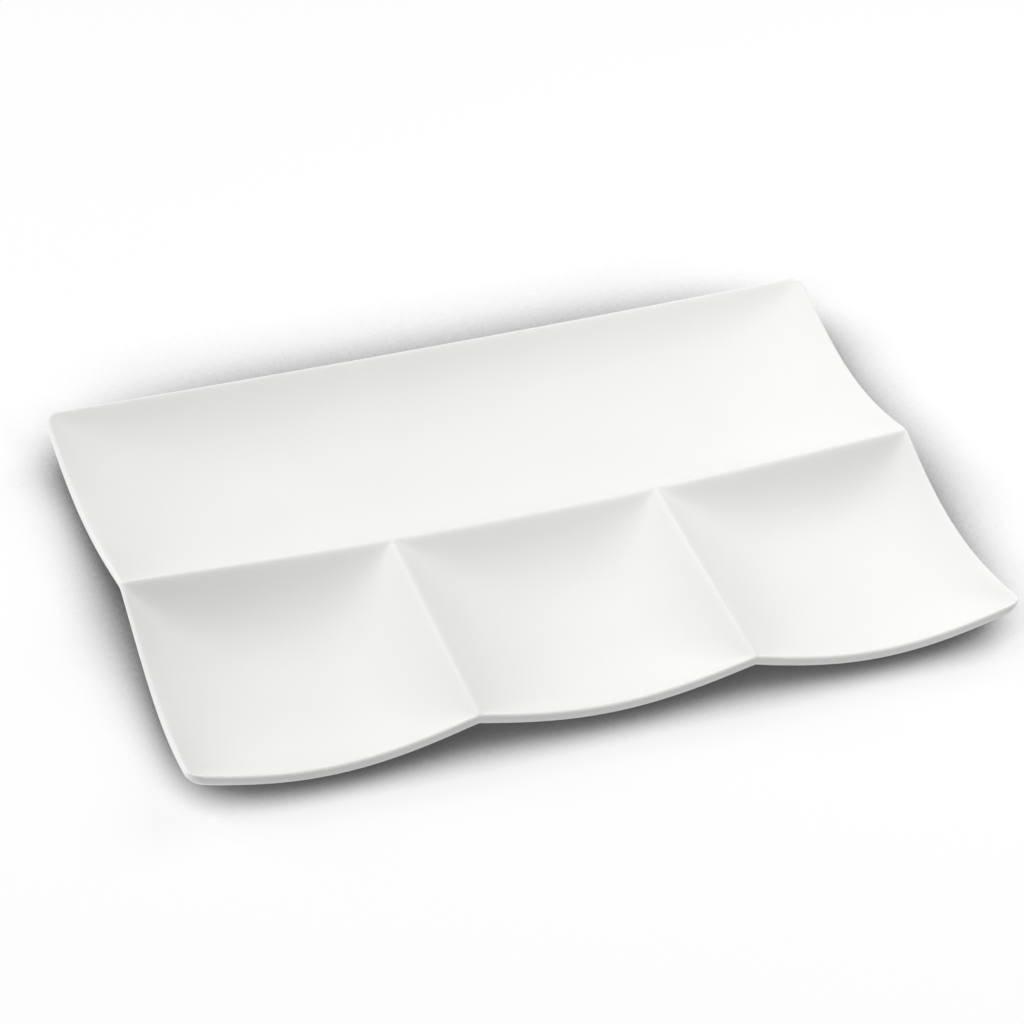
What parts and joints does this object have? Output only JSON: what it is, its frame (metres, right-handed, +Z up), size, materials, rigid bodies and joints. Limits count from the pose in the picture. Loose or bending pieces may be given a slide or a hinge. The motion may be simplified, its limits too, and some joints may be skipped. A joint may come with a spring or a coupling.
{
  "type": "divided serving dish",
  "caption": "Oblong white glazed porcelain serving dish with a wavy rim, one long rear well and smaller front wells.",
  "frame": {"origin": "middle of the dish at the surface it stands on", "axes": "+X along the length to the right, +Y from the front wells to the rear well, +Z up"},
  "size_m": [0.32, 0.216, 0.031],
  "materials": {
    "glazed_porcelain": "glossy clear glaze over white porcelain",
    "bare_porcelain": "unglazed, fine matt porcelain"
  },
  "bodies": {
    "root": {"rear_well": "glazed_porcelain", "left_well": "glazed_porcelain", "middle_well": "glazed_porcelain", "right_well": "glazed_porcelain", "rear_foot_ring": "bare_porcelain", "left_foot_ring": "bare_porcelain", "middle_foot_ring": "bare_porcelain", "right_foot_ring": "bare_porcelain"}
  },
  "joints": []
}
